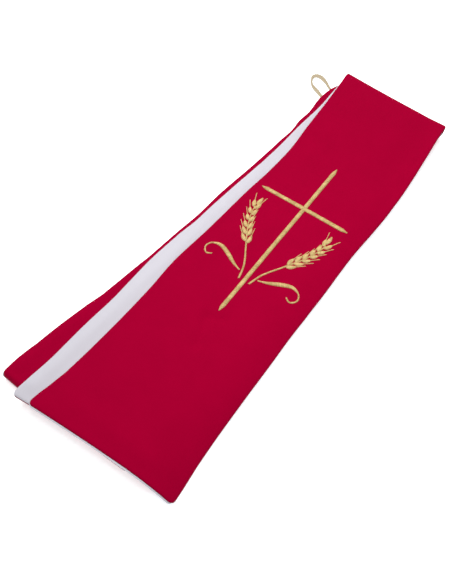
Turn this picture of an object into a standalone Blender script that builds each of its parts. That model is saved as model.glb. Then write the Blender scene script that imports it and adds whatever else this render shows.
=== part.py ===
"""A clerical stole, red on one face and white on the other, folded for storage.

The stole is doubled at the neck with the red outside, then folded in three, so six thicknesses lie
on each other. Three stretches show, each shifted to the left of the one above: the top one, red up,
with a flared hem and an embroidered cross; the second, white up; and the third, red up. The top
stretch turns down round the outer fold and tucks under. The second and third are joined by the
inner fold, and the third turns down round the hem fold and tucks under. The three hidden
thicknesses are one layered body with a flat underside.

Plan positions are in millimetres: "along" runs from the top hem (0) to the outer fold, and
"across" runs from the left (minus) to the right of the top stretch's centre line. They become
metres in place().
"""

from collections import namedtuple
from math import cos, exp, pi, radians, sin, sqrt

import bmesh
import bpy
from mathutils import Vector

MM = 0.001

# Cloth
WALL = 1.0                  # one face of the stole with its share of the interlining
GAP = 0.3                   # between faces, and at every seam
FACE = WALL + GAP
HIDDEN_TOP = 6.3            # top of the three hidden thicknesses
HIDDEN_LAYERS = 3

# The panels' undersides, from the table up
THIRD_WHITE = HIDDEN_TOP + GAP
THIRD_RED = THIRD_WHITE + FACE
SECOND_RED = THIRD_RED + FACE
SECOND_WHITE = SECOND_RED + FACE
TOP_WHITE = SECOND_WHITE + FACE
TOP_RED = TOP_WHITE + FACE
TOP_SURFACE = TOP_RED + WALL

# The plan's point that stands over the part's origin: the middle of the cloth's box
ORIGIN_ALONG = 222.9
ORIGIN_ACROSS = -20.9

# Outlines of the stretches, a row for each section along
Edge = namedtuple("Edge", "along left right")
TOP_OUTLINE = (
    Edge(0, -72.5, 68.2),
    Edge(10, -71.0, 67.7),
    Edge(20, -68.8, 66.9),
    Edge(37, -65.8, 65.3),
    Edge(65, -63.3, 63.9),
    Edge(105, -60.9, 62.9),
    Edge(140, -59.9, 62.3),
    Edge(174, -60.2, 61.4),
    Edge(218, -56.0, 61.8),
    Edge(250, -53.9, 61.1),
    Edge(272, -52.5, 61.1),
    Edge(300, -49.6, 62.5),
    Edge(335, -48.1, 63.4),
    Edge(366, -49.9, 62.3),
    Edge(400, -50.8, 59.8),
    Edge(420, -52.1, 57.9),
    Edge(448, -54.5, 55.8),
)
SECOND_OUTLINE = (
    Edge(0, -89.5, 50.5),
    Edge(12, -88.1, 49.6),
    Edge(38, -85.0, 46.8),
    Edge(58, -83.9, 44.7),
    Edge(82, -83.0, 43.5),
    Edge(113, -80.5, 43.4),
    Edge(130, -80.2, 43.3),
    Edge(165, -78.9, 43.1),
    Edge(200, -74.8, 44.6),
    Edge(218, -71.3, 45.6),
    Edge(258, -67.7, 46.9),
    Edge(320, -60.8, 49.7),
    Edge(366, -57.9, 52.4),
    Edge(397, -54.8, 53.6),
    Edge(415, -54.8, 54.1),
    Edge(440, -54.8, 54.5),
)
THIRD_OUTLINE = (
    Edge(2, -110.7, 22.4),
    Edge(12, -109.8, 22.6),
    Edge(28, -108.2, 23.4),
    Edge(45, -104.9, 24.5),
    Edge(70, -100.8, 26.6),
    Edge(98, -95.2, 29.7),
    Edge(113, -91.0, 31.3),
    Edge(145, -85.7, 33.6),
    Edge(168, -81.9, 35.1),
    Edge(202, -78.6, 37.4),
    Edge(228, -75.2, 39.0),
    Edge(260, -73.2, 41.0),
    Edge(300, -68.3, 43.6),
    Edge(345, -64.0, 47.3),
    Edge(360, -62.4, 48.4),
    Edge(373, -63.2, 49.2),
    Edge(388, -61.7, 49.9),
    Edge(408, -63.1, 50.6),
    Edge(425, -60.8, 51.0),
    Edge(440, -55.0, 50.6),
)
HIDDEN_INSET = 2.2          # the hidden body's edges, inside the third stretch's

# End lines, across the stole: their left and right ends, and how far their middle bows along
EndLine = namedtuple("EndLine", "left_across left_along right_across right_along bow")
TOP_HEM = EndLine(-72.5, -1.5, 68.2, 1.0, 0.95)
SECOND_HEM = EndLine(-89.3, -1.9, 50.0, 0.75, 1.8)
OUTER_FOLD = EndLine(-54.5, 447.4, 55.8, 442.9, -0.9)
INNER_FOLD = EndLine(-55.8, 437.5, 54.0, 433.5, 0.0)
HEM_FOLD = EndLine(-110.6, 7.7, 22.4, 1.25, -1.6)
NECK_END = EndLine(-57.5, 430.6, 50.0, 430.0, 0.0)
HEM_CORNER = 4.2            # radius of the turned corners at the two hems

# Folds: how far each bend reaches along, and the length of cloth tucked back under it
OUTER_REACH = 7.0
INNER_REACH = 4.2
HEM_FOLD_REACH = 4.45
OUTER_TUCK = 16.0
HEM_FOLD_TUCK = 14.0
OUTER_TUCK_HEIGHT = 4.0     # underside of the tucked end, on the neck's two thicknesses
NECK_TOP = OUTER_TUCK_HEIGHT - GAP

# Relief
PUFF_START, PUFF_END = 335.0, 425.0
TOP_PUFF = 4.6              # the top stretch stands off towards its fold
SECOND_PUFF = 2.8
SAG_DEPTH, SAG_RUN, SAG_POWER = 9.0, 48.0, 1.7
HEM_DIP, HEM_DIP_RUN = 1.6, 14.0
Swell = namedtuple("Swell", "along across half_length half_width turn height")
SWELLS = (
    Swell(120, -20, 46, 60, 20, 0.9),
    Swell(232, -35, 40, 55, -25, 1.1),
    Swell(322, 12, 44, 60, 30, 1.2),
)
SWELL_FADE = 34.0           # swells die out this far from the folds

# Mesh divisions
ACROSS_STEPS = 9
ALONG_STEPS = 26
BEND_STEPS = 6

# Embroidery, sewn through the top red face
THREAD_EDGE, THREAD_CROWN = 0.5, 0.9
BAR_HALF_WIDTH = 1.9
UPRIGHT_FOOT, UPRIGHT_HEAD = (155.0, 0.5), (338.0, 0.5)
CROSSING_ALONG = 284.0
ARM_REACH = 45.0
POINT_LENGTH = 5.0          # tapered end of each bar
# Routes of the wheat and its leaf: along, and across from the upright's centre line
SPRAY_ROUTE = ((191.0, 5.2), (205.0, 9.5), (222.0, 19.5), (240.0, 30.0), (258.0, 36.5), (272.0, 36.0))
LEAF_ROUTE = (
    (198.0, 9.6), (201.0, 18.0), (206.0, 27.5), (209.5, 37.0),
    (207.0, 45.0), (201.0, 47.5), (196.0, 43.5), (198.0, 38.5),
)
STALK_HALF_WIDTH = 0.9
EAR_HALF_WIDTH = 5.2
EAR_START = 0.40            # share of the spray's route that is bare stalk
GRAINS = 6
LEAF_HALF_WIDTH = 2.0
CURL_HALF_WIDTH = 0.7       # the leaf's stem and its curled tip
LEAF_BLADE = 0.72           # share of the leaf's route that is blade

# Hanging loop: a flat braid on the table, from edge to edge of the neck
LOOP_ROUTE = (
    (415.8, -60.3), (416.9, -63.8), (418.7, -68.1), (421.6, -74.1), (423.3, -78.3), (425.4, -81.9),
    (428.3, -84.4), (431.3, -86.0), (435.4, -86.9), (438.2, -85.0), (439.1, -81.9), (438.6, -78.7),
    (437.1, -74.8), (435.1, -71.1), (432.9, -67.9), (430.9, -64.4), (429.7, -61.5), (428.5, -58.1),
)
LOOP_HALF_WIDTH, LOOP_HALF_THICKNESS = 2.0, 0.6

RED = (0.44, 0.003, 0.028)
WHITE = (0.78, 0.77, 0.80)
GOLD = (0.66, 0.45, 0.10)
BRAID = (0.72, 0.60, 0.36)


def smooth_step(x):
    """Ease from 0 to 1 while x goes from 0 to 1."""
    x = min(max(x, 0.0), 1.0)
    return x * x * (3.0 - 2.0 * x)


def mix(a, b, share):
    return a + (b - a) * share


def cubic(p0, p1, p2, p3, x):
    """Catmull-Rom value between p1 and p2."""
    slope_1 = 0.5 * (p2 - p0)
    slope_2 = 0.5 * (p3 - p1)
    rise = p2 - p1
    return p1 + x * (slope_1 + x * (3 * rise - 2 * slope_1 - slope_2 + x * (slope_1 + slope_2 - 2 * rise)))


def outline_at(outline, along):
    """The left and right edges at a place along, smooth through the outline's rows."""
    last = len(outline) - 2
    row = 0
    while row < last and along > outline[row + 1].along:
        row += 1
    before, here = outline[max(row - 1, 0)], outline[row]
    after, beyond = outline[row + 1], outline[min(row + 2, last + 1)]
    x = (along - here.along) / (after.along - here.along)
    x = min(max(x, 0.0), 1.0)
    left = cubic(before.left, here.left, after.left, beyond.left, x)
    right = cubic(before.right, here.right, after.right, beyond.right, x)
    return left, right


def end_line_at(line, across):
    """How far along an end line lies at a place across."""
    share = (across - line.left_across) / (line.right_across - line.left_across)
    return mix(line.left_along, line.right_along, share) + 4 * line.bow * share * (1 - share)


def swell_at(along, across):
    """Soft rises that every layer shares, gone near the folds."""
    height = 0.0
    for swell in SWELLS:
        turn = radians(swell.turn)
        d_along, d_across = along - swell.along, across - swell.across
        u = (d_along * cos(turn) + d_across * sin(turn)) / swell.half_length
        v = (d_across * cos(turn) - d_along * sin(turn)) / swell.half_width
        height += swell.height * exp(-u * u - v * v)
    hem_end = smooth_step((along - HEM_FOLD_TUCK) / SWELL_FADE)
    fold_end = smooth_step((INNER_FOLD.right_along - OUTER_TUCK - along) / SWELL_FADE)
    return height * hem_end * fold_end


def puff_at(along, height):
    """The rise of an upper stretch towards its fold."""
    return height * smooth_step((along - PUFF_START) / (PUFF_END - PUFF_START))


def sag_at(along, across):
    """How far the upper stretches hang where nothing carries them: past the third, and at the hem."""
    overhang = max(across - outline_at(THIRD_OUTLINE, along)[1], 0.0)
    sag = SAG_DEPTH * (overhang / SAG_RUN) ** SAG_POWER
    carried_from = end_line_at(HEM_FOLD, min(across, HEM_FOLD.right_across)) + HEM_FOLD_REACH
    hem = max(carried_from - along, 0.0)
    return sag + HEM_DIP * (hem / HEM_DIP_RUN) ** 2


def top_relief(along, across):
    return swell_at(along, across) + puff_at(along, TOP_PUFF) - sag_at(along, across)


def second_relief(along, across):
    return swell_at(along, across) + puff_at(along, SECOND_PUFF) - sag_at(along, across)


def place(along, across, height):
    """A point in the part's frame, in metres: +X right, +Y towards the outer fold, +Z up."""
    return Vector(((across - ORIGIN_ACROSS) * MM, (along - ORIGIN_ALONG) * MM, height * MM))


def hem_inset(distance):
    """How far a hem's rounded corner draws the side edges in, at a distance from the hem line."""
    if distance >= HEM_CORNER:
        return 0.0
    return HEM_CORNER - sqrt(HEM_CORNER ** 2 - (HEM_CORNER - distance) ** 2)


def across_at(outline, along, share, inset=0.0):
    left, right = outline_at(outline, along)
    return mix(left + inset, right - inset, share)


def material(name, colour, roughness):
    made = bpy.data.materials.new(name)
    made.use_nodes = True
    shader = made.node_tree.nodes["Principled BSDF"]
    shader.inputs["Base Color"].default_value = (*colour, 1.0)
    shader.inputs["Roughness"].default_value = roughness
    return made


def make_object(name, mesh_data, colour, roughness=0.8):
    """Turn a bmesh into a named object with its own material and outward faces."""
    bmesh.ops.recalc_face_normals(mesh_data, faces=mesh_data.faces)
    mesh = bpy.data.meshes.new(name)
    mesh_data.to_mesh(mesh)
    mesh_data.free()
    mesh.materials.append(material(name, colour, roughness))
    mesh.shade_smooth()
    mesh.set_sharp_from_angle(angle=radians(40))
    made = bpy.data.objects.new(name, mesh)
    bpy.context.collection.objects.link(made)
    return made


def wall_from_rows(name, rows, colour):
    """A closed cloth wall from rows of (outer point, inner point) pairs."""
    built = bmesh.new()
    outer = [[built.verts.new(pair[0]) for pair in row] for row in rows]
    inner = [[built.verts.new(pair[1]) for pair in row] for row in rows]
    last_row, last_column = len(rows) - 1, len(rows[0]) - 1
    for i in range(last_row):
        for j in range(last_column):
            built.faces.new((outer[i][j], outer[i][j + 1], outer[i + 1][j + 1], outer[i + 1][j]))
            built.faces.new((inner[i][j], inner[i + 1][j], inner[i + 1][j + 1], inner[i][j + 1]))
        for j in (0, last_column):
            built.faces.new((outer[i][j], outer[i + 1][j], inner[i + 1][j], inner[i][j]))
    for i in (0, last_row):
        for j in range(last_column):
            built.faces.new((outer[i][j], inner[i][j], inner[i][j + 1], outer[i][j + 1]))
    return make_object(name, built, colour)


def tube_from_rings(name, rings, colour):
    """A closed body from rings of points, with flat ends."""
    built = bmesh.new()
    loops = [[built.verts.new(point) for point in ring] for ring in rings]
    count = len(rings[0])
    for one, two in zip(loops, loops[1:]):
        for j in range(count):
            k = (j + 1) % count
            built.faces.new((one[j], one[k], two[k], two[j]))
    ends = [built.faces.new(loops[0]), built.faces.new(loops[-1])]
    bmesh.ops.triangulate(built, faces=ends)
    return make_object(name, built, colour)


def flat_rows(outline, start, finish, underside, relief, hem=False, steps=ALONG_STEPS):
    """Rows of a wall lying flat, from a start line to a finish line, each a function of across."""
    shares = [i / steps for i in range(steps + 1)]
    if hem:
        length = finish(0.0) - start(0.0)
        corner = [HEM_CORNER * part / length for part in (0.12, 0.4, 1.0)]
        shares = [0.0] + corner + shares[1:]
    rows = []
    for share in shares:
        row = []
        inset = hem_inset(share * (finish(0.0) - start(0.0))) if hem else 0.0
        for j in range(ACROSS_STEPS + 1):
            along = mix(start(0.0), finish(0.0), share)
            for _ in range(2):
                across = across_at(outline, along, j / ACROSS_STEPS, inset)
                along = mix(start(across), finish(across), share)
            low = underside + relief(along, across)
            row.append((place(along, across, low + WALL), place(along, across, low)))
        rows.append(row)
    return rows


def bend_rows(outline, tip, reach, direction, high, low, inset):
    """Rows of a wall round a fold, from its upper side to its lower one.

    tip gives the fold line along, direction is +1 for a fold that faces the outer end, high and low
    are the outermost cloth's two faces at a place, and inset is this wall's distance inside them.
    """
    rows = []
    for i in range(BEND_STEPS + 1):
        angle = pi * i / BEND_STEPS
        row = []
        for j in range(ACROSS_STEPS + 1):
            along = tip(0.0) - direction * reach
            for _ in range(2):
                across = across_at(outline, along, j / ACROSS_STEPS)
                along = tip(across) - direction * reach
            top, bottom = high(along, across), low(along, across)
            middle, half = (top + bottom) / 2, (top - bottom) / 2
            pair = []
            for depth in (inset, inset + WALL):
                out = along + direction * (reach - depth) * sin(angle)
                pair.append(place(out, across, middle + (half - depth) * cos(angle)))
            row.append(tuple(pair))
        rows.append(row)
    return rows


def tuck_row(outline, tip, reach, direction, underside, length):
    """The end row of cloth tucked under a fold, its outer face down."""
    row = []
    for j in range(ACROSS_STEPS + 1):
        along = tip(0.0) - direction * (reach + length)
        for _ in range(2):
            across = across_at(outline, along, j / ACROSS_STEPS)
            along = tip(across) - direction * (reach + length)
        row.append((place(along, across, underside), place(along, across, underside + WALL)))
    return row


def line(end_line, offset=0.0):
    """An end line as a function of across, shifted along."""
    return lambda across: end_line_at(end_line, across) + offset


def top_stretch():
    """The stretch on top, from its hem round the outer fold to the end tucked under."""
    def high(along, across):
        return TOP_SURFACE + top_relief(along, across)

    def low(along, across):
        return OUTER_TUCK_HEIGHT

    for name, underside, inset, colour in (
        ("top_red_face", TOP_RED, 0.0, RED),
        ("top_white_face", TOP_WHITE, FACE, WHITE),
    ):
        flat_end = line(OUTER_FOLD, -OUTER_REACH)
        rows = flat_rows(TOP_OUTLINE, line(TOP_HEM), flat_end, underside, top_relief, hem=True)
        tip = line(OUTER_FOLD)
        rows += bend_rows(TOP_OUTLINE, tip, OUTER_REACH, 1, high, low, inset)[1:]
        rows.append(tuck_row(TOP_OUTLINE, tip, OUTER_REACH, 1, OUTER_TUCK_HEIGHT + inset, OUTER_TUCK))
        wall_from_rows(name, rows, colour)


def second_stretch():
    """The stretch under the top one, white up, from its hem round the inner fold."""
    def high(along, across):
        return SECOND_WHITE + WALL + second_relief(along, across)

    def low(along, across):
        return THIRD_WHITE

    for name, underside, inset, colour in (
        ("second_white_face", SECOND_WHITE, 0.0, WHITE),
        ("second_red_face", SECOND_RED, FACE, RED),
    ):
        flat_end = line(INNER_FOLD, -INNER_REACH)
        rows = flat_rows(SECOND_OUTLINE, line(SECOND_HEM), flat_end, underside, second_relief, hem=True)
        rows += bend_rows(SECOND_OUTLINE, line(INNER_FOLD), INNER_REACH, 1, high, low, inset)[1:]
        wall_from_rows(name, rows, colour)


def third_stretch():
    """The lowest stretch that shows, red up, from the inner fold to the fold at the hem end."""
    def high(along, across):
        return THIRD_RED + WALL

    def low(along, across):
        return 0.0

    for name, underside, inset, colour in (
        ("third_red_face", THIRD_RED, 0.0, RED),
        ("third_white_face", THIRD_WHITE, FACE, WHITE),
    ):
        start = line(INNER_FOLD, -INNER_REACH - GAP)
        finish = line(HEM_FOLD, HEM_FOLD_REACH)
        rows = flat_rows(THIRD_OUTLINE, start, finish, underside, swell_at)
        tip = line(HEM_FOLD)
        rows += bend_rows(THIRD_OUTLINE, tip, HEM_FOLD_REACH, -1, high, low, inset)[1:]
        rows.append(tuck_row(THIRD_OUTLINE, tip, HEM_FOLD_REACH, -1, inset, HEM_FOLD_TUCK))
        wall_from_rows(name, rows, colour)


def layered_side(edge, outward, low, high):
    """Points up a side edge, one rounded bulge for each hidden thickness."""
    height = (high - low) / HIDDEN_LAYERS
    notch = 0.42 * height
    points = []
    for layer in range(HIDDEN_LAYERS):
        shift = (0.0, 1.1, 0.3)[layer]
        base = low + layer * height
        for rise, depth in ((0.0, 1.0), (0.18, 0.35), (0.5, 0.0), (0.82, 0.35)):
            points.append((edge - outward * (shift + notch * depth), base + rise * height))
    points.append((edge - outward * notch, high))
    return points


def hidden_ring(line_at, low, high, relief_share):
    """One section of the hidden body, along a line across the stole."""
    left, right = outline_at(THIRD_OUTLINE, line_at(0.0))
    left, right = left + HIDDEN_INSET, right - HIDDEN_INSET
    right_side = layered_side(right, 1, low, high)
    left_side = layered_side(left, -1, low, high)
    inner_left, inner_right = left_side[0][0], right_side[0][0]
    ring = []
    for j in range(1, ACROSS_STEPS):
        across = mix(inner_left, inner_right, j / ACROSS_STEPS)
        ring.append(place(line_at(across), across, low))
    for across, height in right_side:
        ring.append(place(line_at(across), across, height))
    for j in range(ACROSS_STEPS - 1, 0, -1):
        across = mix(inner_left, inner_right, j / ACROSS_STEPS)
        along = line_at(across)
        ring.append(place(along, across, high + relief_share * swell_at(along, across)))
    for across, height in reversed(left_side):
        ring.append(place(line_at(across), across, height))
    return ring


def folded_layers():
    """The three hidden thicknesses: flat below, layered at the edges, rounded at both ends."""
    tuck_top = 2 * FACE
    nose_reach = HEM_FOLD_REACH - tuck_top
    middle, half = (HIDDEN_TOP + tuck_top) / 2, (HIDDEN_TOP - tuck_top) / 2
    start = HEM_FOLD_REACH
    rings = []
    for angle in (75, 50, 25, 0):
        turn = radians(angle)
        station = line(HEM_FOLD, start - nose_reach * sin(turn))
        rings.append(hidden_ring(station, middle - half * cos(turn), middle + half * cos(turn), 0.0))
    step = HEM_FOLD_REACH + HEM_FOLD_TUCK + GAP
    rings.append(hidden_ring(line(HEM_FOLD, step), tuck_top, HIDDEN_TOP, 1.0))
    far_step = -OUTER_REACH - OUTER_TUCK - GAP
    steps = ALONG_STEPS - 4
    near_line, far_line = line(HEM_FOLD, step + 0.05), line(OUTER_FOLD, far_step - 0.05)
    for i in range(steps + 1):
        share = i / steps

        def station(across, share=share):
            return mix(near_line(across), far_line(across), share)

        rings.append(hidden_ring(station, 0.0, HIDDEN_TOP, 1.0))
    rings.append(hidden_ring(line(OUTER_FOLD, far_step), 0.0, NECK_TOP, 0.0))
    neck_reach = NECK_TOP / 2
    for angle in (0, 35, 65):
        turn = radians(angle)
        station = line(NECK_END, -neck_reach + neck_reach * sin(turn))
        half = NECK_TOP / 2 * cos(turn)
        rings.append(hidden_ring(station, NECK_TOP / 2 - half, NECK_TOP / 2 + half, 0.0))
    tube_from_rings("folded_layers", rings, RED)


def smooth_route(points, per_span):
    """Points along a smooth curve through a route's own points."""
    route = []
    last = len(points) - 1
    for i in range(last):
        p0, p1 = points[max(i - 1, 0)], points[i]
        p2, p3 = points[i + 1], points[min(i + 2, last)]
        for k in range(per_span):
            x = k / per_span
            route.append(tuple(cubic(p0[a], p1[a], p2[a], p3[a], x) for a in (0, 1)))
    route.append(tuple(points[-1]))
    return route


def sideways(route, i):
    """Unit vector to the side of a route at its point i, in the plan."""
    before, after = route[max(i - 1, 0)], route[min(i + 1, len(route) - 1)]
    d_along, d_across = after[0] - before[0], after[1] - before[1]
    length = sqrt(d_along ** 2 + d_across ** 2)
    return -d_across / length, d_along / length


def stitched_band(name, route, half_widths):
    """A raised band of satin stitch on the top red face, along a route in the plan."""
    rings = []
    for i, (along, across) in enumerate(route):
        side_along, side_across = sideways(route, i)
        ring = []
        for offset, lift in ((-1, 0.0), (1, 0.0), (1, THREAD_EDGE), (0, THREAD_CROWN), (-1, THREAD_EDGE)):
            a = along + offset * half_widths[i] * side_along
            c = across + offset * half_widths[i] * side_across
            ring.append(place(a, c, TOP_SURFACE + top_relief(a, c) + GAP + lift))
        rings.append(ring)
    tube_from_rings(name, rings, GOLD)


def bar_widths(count, length, tapered_ends):
    """Half widths along a bar that runs to a point at its tapered ends."""
    widths = []
    for i in range(count):
        place_along = length * i / (count - 1)
        distance = min(
            place_along if tapered_ends[0] else length,
            length - place_along if tapered_ends[1] else length,
        )
        widths.append(BAR_HALF_WIDTH * mix(0.25, 1.0, min(distance / POINT_LENGTH, 1.0)))
    return widths


def straight_route(start, finish, count):
    return [(mix(start[0], finish[0], i / (count - 1)), mix(start[1], finish[1], i / (count - 1)))
            for i in range(count)]


def embroidered_cross():
    """A tall plain cross: the upright in one run, an arm on each side of it."""
    upright = straight_route(UPRIGHT_FOOT, UPRIGHT_HEAD, 38)
    length = UPRIGHT_HEAD[0] - UPRIGHT_FOOT[0]
    stitched_band("cross_upright", upright, bar_widths(len(upright), length, (True, True)))
    for name, side in (("cross_arm_left", -1), ("cross_arm_right", 1)):
        root = UPRIGHT_FOOT[1] + side * (BAR_HALF_WIDTH + GAP)
        tip = UPRIGHT_FOOT[1] + side * ARM_REACH
        arm = straight_route((CROSSING_ALONG, root), (CROSSING_ALONG, tip), 10)
        stitched_band(name, arm, bar_widths(len(arm), abs(tip - root), (False, True)))


def spray_widths(count):
    """A thin stalk, then an ear with a scallop for each row of grains."""
    widths = []
    for i in range(count):
        share = i / (count - 1)
        if share <= EAR_START:
            widths.append(STALK_HALF_WIDTH)
            continue
        ear = (share - EAR_START) / (1.0 - EAR_START)
        body = sin(pi * min(ear * 0.92 + 0.08, 1.0)) ** 0.6
        scallop = 0.72 + 0.28 * abs(sin(pi * GRAINS * ear))
        widths.append(max(EAR_HALF_WIDTH * body * scallop, 0.5))
    return widths


def leaf_widths(count):
    """A blade that swells and narrows again, then a thin curled tip."""
    widths = []
    for i in range(count):
        share = min(i / (count - 1) / LEAF_BLADE, 1.0)
        widths.append(max(LEAF_HALF_WIDTH * sin(pi * share) ** 0.8, CURL_HALF_WIDTH))
    return widths


def embroidered_sprays():
    """An ear of wheat and a curled leaf on each side of the upright, leaning outwards."""
    for side_name, side in (("left", -1), ("right", 1)):
        for plant, plan, widths in (
            ("wheat", SPRAY_ROUTE, spray_widths),
            ("leaf", LEAF_ROUTE, leaf_widths),
        ):
            points = [(along, UPRIGHT_FOOT[1] + side * across) for along, across in plan]
            route = smooth_route(points, 7)
            stitched_band(f"{plant}_{side_name}", route, widths(len(route)))


def hanging_loop():
    """The braid loop, both ends meeting the edge of the neck."""
    route = smooth_route(LOOP_ROUTE, 2)
    rings = []
    for i, (along, across) in enumerate(route):
        side_along, side_across = sideways(route, i)
        ring = []
        for k in range(8):
            angle = 2 * pi * (k + 0.5) / 8
            offset = LOOP_HALF_WIDTH * cos(angle) / cos(pi / 8)
            height = LOOP_HALF_THICKNESS * (1.0 + sin(angle) / cos(pi / 8))
            ring.append(place(along + offset * side_along, across + offset * side_across, height))
        rings.append(ring)
    tube_from_rings("hanging_loop", rings, BRAID)


for old in list(bpy.data.objects):
    bpy.data.objects.remove(old, do_unlink=True)
top_stretch()
second_stretch()
third_stretch()
folded_layers()
embroidered_cross()
embroidered_sprays()
hanging_loop()
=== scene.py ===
"""The looks of a folded clerical stole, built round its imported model.

The stole is two lengths of doubled cloth, side A with the embroidery and side B, joined at the neck.
Each side has a red face and a white face, sewn round the edge and turned, and each face here is one
continuous cloth from its hem, through two folds, to the neck seam.

Plan positions are in millimetres: "along" runs from side A's hem (0) to the outer fold, "across" from
the left (minus) to the right of the top stretch's centre line. Heights are above the table.
"""

import random
from collections import namedtuple
from math import cos, pi, radians, sin

import bpy
import numpy as np
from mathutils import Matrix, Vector


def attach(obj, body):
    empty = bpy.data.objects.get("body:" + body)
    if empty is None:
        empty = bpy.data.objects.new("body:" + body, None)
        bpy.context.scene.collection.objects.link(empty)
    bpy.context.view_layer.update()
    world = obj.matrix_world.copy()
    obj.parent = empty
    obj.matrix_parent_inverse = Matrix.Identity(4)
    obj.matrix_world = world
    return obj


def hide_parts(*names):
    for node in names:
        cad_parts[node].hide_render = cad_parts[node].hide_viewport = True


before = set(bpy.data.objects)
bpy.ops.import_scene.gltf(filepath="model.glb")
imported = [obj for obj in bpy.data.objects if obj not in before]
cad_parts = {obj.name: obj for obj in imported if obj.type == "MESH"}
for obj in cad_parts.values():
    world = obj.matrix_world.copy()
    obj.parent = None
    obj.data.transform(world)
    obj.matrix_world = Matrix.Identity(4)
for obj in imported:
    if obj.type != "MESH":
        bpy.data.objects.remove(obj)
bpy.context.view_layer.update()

MM = 0.001
BODY = "root"

# Camera, at the photo's angle
LOOK_AT = Vector((0.0104, -0.0424, 0.0))
CAMERA_DISTANCE = 0.859
CAMERA_AZIMUTH, CAMERA_ELEVATION = 35.7, 58.0
LONG_SIDE_PIXELS, FOCAL_PIXELS = 584, 1000
SENSOR_WIDTH = 36.0

# Cloth, as in the part's source, but for some left edges of the lower stretches, up to 1 mm off it
WALL = 1.0
GAP = 0.3
FACE = WALL + GAP
HIDDEN_TOP = 6.3
THIRD_WHITE = HIDDEN_TOP + GAP
THIRD_RED = THIRD_WHITE + FACE
SECOND_RED = THIRD_RED + FACE
SECOND_WHITE = SECOND_RED + FACE
TOP_WHITE = SECOND_WHITE + FACE
TOP_RED = TOP_WHITE + FACE
TOP_SURFACE = TOP_RED + WALL
SEAM_FILL = 0.12  # each face is this much thicker, so that the two meet at the seam
ORIGIN_ALONG = 222.9
ORIGIN_ACROSS = -20.9

Edge = namedtuple("Edge", "along left right")
TOP_OUTLINE = (
    Edge(0, -72.5, 68.2),
    Edge(10, -71.0, 67.7),
    Edge(20, -68.8, 66.9),
    Edge(37, -65.8, 65.3),
    Edge(65, -63.3, 63.9),
    Edge(105, -60.9, 62.9),
    Edge(140, -59.9, 62.3),
    Edge(174, -60.2, 61.4),
    Edge(218, -56.0, 61.8),
    Edge(250, -53.9, 61.1),
    Edge(272, -52.5, 61.1),
    Edge(300, -49.6, 62.5),
    Edge(335, -48.1, 63.4),
    Edge(366, -49.9, 62.3),
    Edge(400, -50.8, 59.8),
    Edge(420, -52.1, 57.9),
    Edge(448, -54.5, 55.8),
)
SECOND_OUTLINE = (
    Edge(0, -89.5, 50.5),
    Edge(12, -88.1, 49.6),
    Edge(38, -85.0, 46.8),
    Edge(58, -83.9, 44.7),
    Edge(82, -82.7, 43.5),
    Edge(113, -80.0, 43.4),
    Edge(130, -79.5, 43.3),
    Edge(165, -78.6, 43.1),
    Edge(200, -74.8, 44.6),
    Edge(218, -71.3, 45.6),
    Edge(258, -67.7, 46.9),
    Edge(320, -60.8, 49.7),
    Edge(366, -57.9, 52.4),
    Edge(397, -54.8, 53.6),
    Edge(415, -54.8, 54.1),
    Edge(440, -54.8, 54.5),
)
THIRD_OUTLINE = (
    Edge(2, -110.7, 22.4),
    Edge(12, -109.8, 22.6),
    Edge(28, -108.2, 23.4),
    Edge(45, -104.9, 24.5),
    Edge(70, -100.8, 26.6),
    Edge(98, -95.2, 29.7),
    Edge(113, -91.0, 31.3),
    Edge(145, -86.3, 33.6),
    Edge(168, -82.9, 35.1),
    Edge(202, -78.9, 37.4),
    Edge(228, -75.2, 39.0),
    Edge(260, -73.2, 41.0),
    Edge(300, -68.3, 43.6),
    Edge(345, -64.0, 47.3),
    Edge(360, -62.4, 48.4),
    Edge(373, -63.2, 49.2),
    Edge(388, -61.7, 49.9),
    Edge(408, -63.1, 50.6),
    Edge(425, -60.8, 51.0),
    Edge(440, -55.0, 50.6),
)

EndLine = namedtuple("EndLine", "left_across left_along right_across right_along bow")
TOP_HEM = EndLine(-72.5, -1.5, 68.2, 1.0, 0.95)
SECOND_HEM = EndLine(-89.3, -1.9, 50.0, 0.75, 1.8)
OUTER_FOLD = EndLine(-54.5, 447.4, 55.8, 442.9, -0.9)
INNER_FOLD = EndLine(-55.8, 437.5, 54.0, 433.5, 0.0)
HEM_FOLD = EndLine(-110.6, 7.7, 22.4, 1.25, -1.6)
NECK_END = EndLine(-57.5, 430.6, 50.0, 430.0, 0.0)
HEM_CORNER = 4.2
OUTER_REACH = 7.0
INNER_REACH = 4.2
HEM_FOLD_REACH = 4.45

# Relief shared with the part's source
PUFF_START, PUFF_END = 335.0, 425.0
TOP_PUFF, SECOND_PUFF = 4.6, 2.8
SAG_DEPTH, SAG_RUN, SAG_POWER = 9.0, 48.0, 1.7
HEM_DIP, HEM_DIP_RUN = 1.6, 14.0
HEM_FOLD_TUCK, OUTER_TUCK = 14.0, 16.0
Swell = namedtuple("Swell", "along across half_length half_width turn height")
SWELLS = (
    Swell(120, -20, 46, 60, 20, 0.9),
    Swell(232, -35, 40, 55, -25, 1.1),
    Swell(322, 12, 44, 60, 30, 1.2),
)
SWELL_FADE = 34.0
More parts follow.
